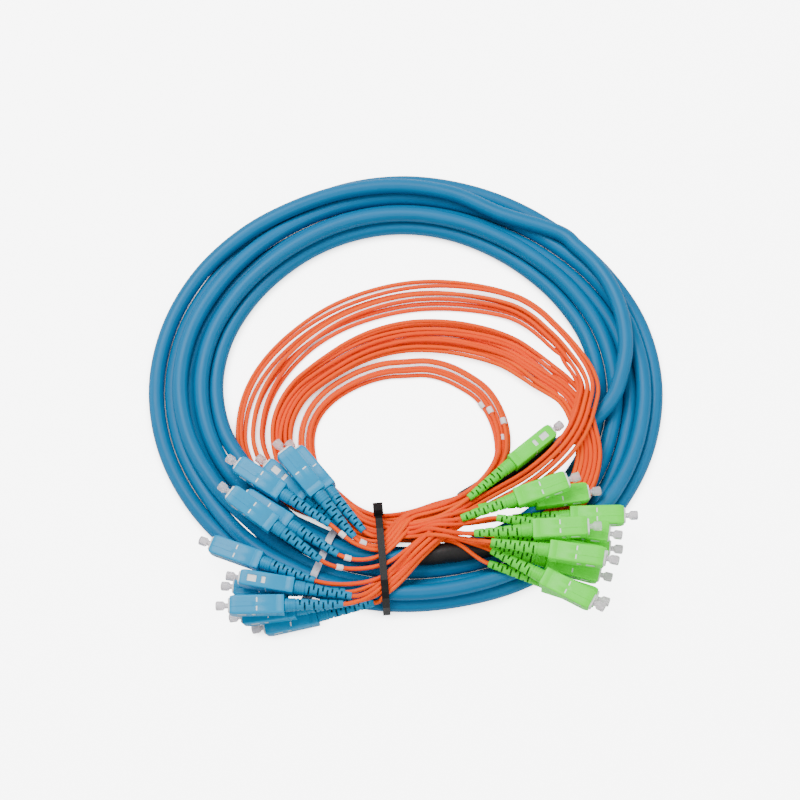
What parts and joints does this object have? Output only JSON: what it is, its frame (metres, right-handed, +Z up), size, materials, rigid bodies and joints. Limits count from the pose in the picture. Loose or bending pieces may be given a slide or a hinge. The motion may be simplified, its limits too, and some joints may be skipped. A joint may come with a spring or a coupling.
{
  "type": "fibre breakout cable",
  "caption": "Flat coil of round blue trunk cable whose two ends split through black sleeves into orange legs with blue and green push-pull connectors, held by cable ties.",
  "frame": {"origin": "middle of the box round the whole coil, at the floor it lies on", "axes": "+Z up from the floor, -Y towards the front of the coil where the ties and the connectors are, +X towards the green connectors"},
  "size_m": [0.249, 0.2336, 0.0411],
  "materials": {
    "trunk_jacket": "satin blue jacket",
    "leg_orange": "satin orange jacket",
    "sleeve_black": "black heat-shrink",
    "connector_blue": "moulded sky blue",
    "connector_green": "moulded light green",
    "tie_black": "black nylon",
    "tie_clear": "clear nylon"
  },
  "bodies": {
    "root": {"blue_boot_a": "connector_blue", "blue_boot_b": "connector_blue", "blue_boot_c": "connector_blue", "blue_boot_d": "connector_blue", "blue_boot_e": "connector_blue", "blue_boot_f": "connector_blue", "blue_boot_g": "connector_blue", "blue_boot_h": "connector_blue", "blue_boot_i": "connector_blue", "blue_boot_j": "connector_blue", "blue_boot_k": "connector_blue", "blue_boot_l": "connector_blue", "blue_housing_a": "connector_blue", "blue_housing_b": "connector_blue", "blue_housing_c": "connector_blue", "blue_housing_d": "connector_blue", "blue_housing_e": "connector_blue", "blue_housing_f": "connector_blue", "blue_housing_g": "connector_blue", "blue_housing_h": "connector_blue", "blue_housing_i": "connector_blue", "blue_housing_j": "connector_blue", "blue_housing_k": "connector_blue", "blue_housing_l": "connector_blue", "blue_legs_inner_loop": "leg_orange", "blue_legs_outer_loop": "leg_orange", "breakout_sleeve_blue_end": "sleeve_black", "breakout_sleeve_green_end": "sleeve_black", "cable_tie_black": "tie_black", "cable_tie_clear": "tie_clear", "green_boot_a": "connector_green", "green_boot_b": "connector_green", "green_boot_c": "connector_green", "green_boot_d": "connector_green", "green_boot_e": "connector_green", "green_boot_f": "connector_green", "green_boot_g": "connector_green", "green_boot_h": "connector_green", "green_boot_i": "connector_green", "green_boot_j": "connector_green", "green_boot_k": "connector_green", "green_boot_l": "connector_green", "green_housing_a": "connector_green", "green_housing_b": "connector_green", "green_housing_c": "connector_green", "green_housing_d": "connector_green", "green_housing_e": "connector_green", "green_housing_f": "connector_green", "green_housing_g": "connector_green", "green_housing_h": "connector_green", "green_housing_i": "connector_green", "green_housing_j": "connector_green", "green_housing_k": "connector_green", "green_housing_l": "connector_green", "green_legs_loop": "leg_orange", "trunk_cable": "trunk_jacket"}
  },
  "joints": []
}
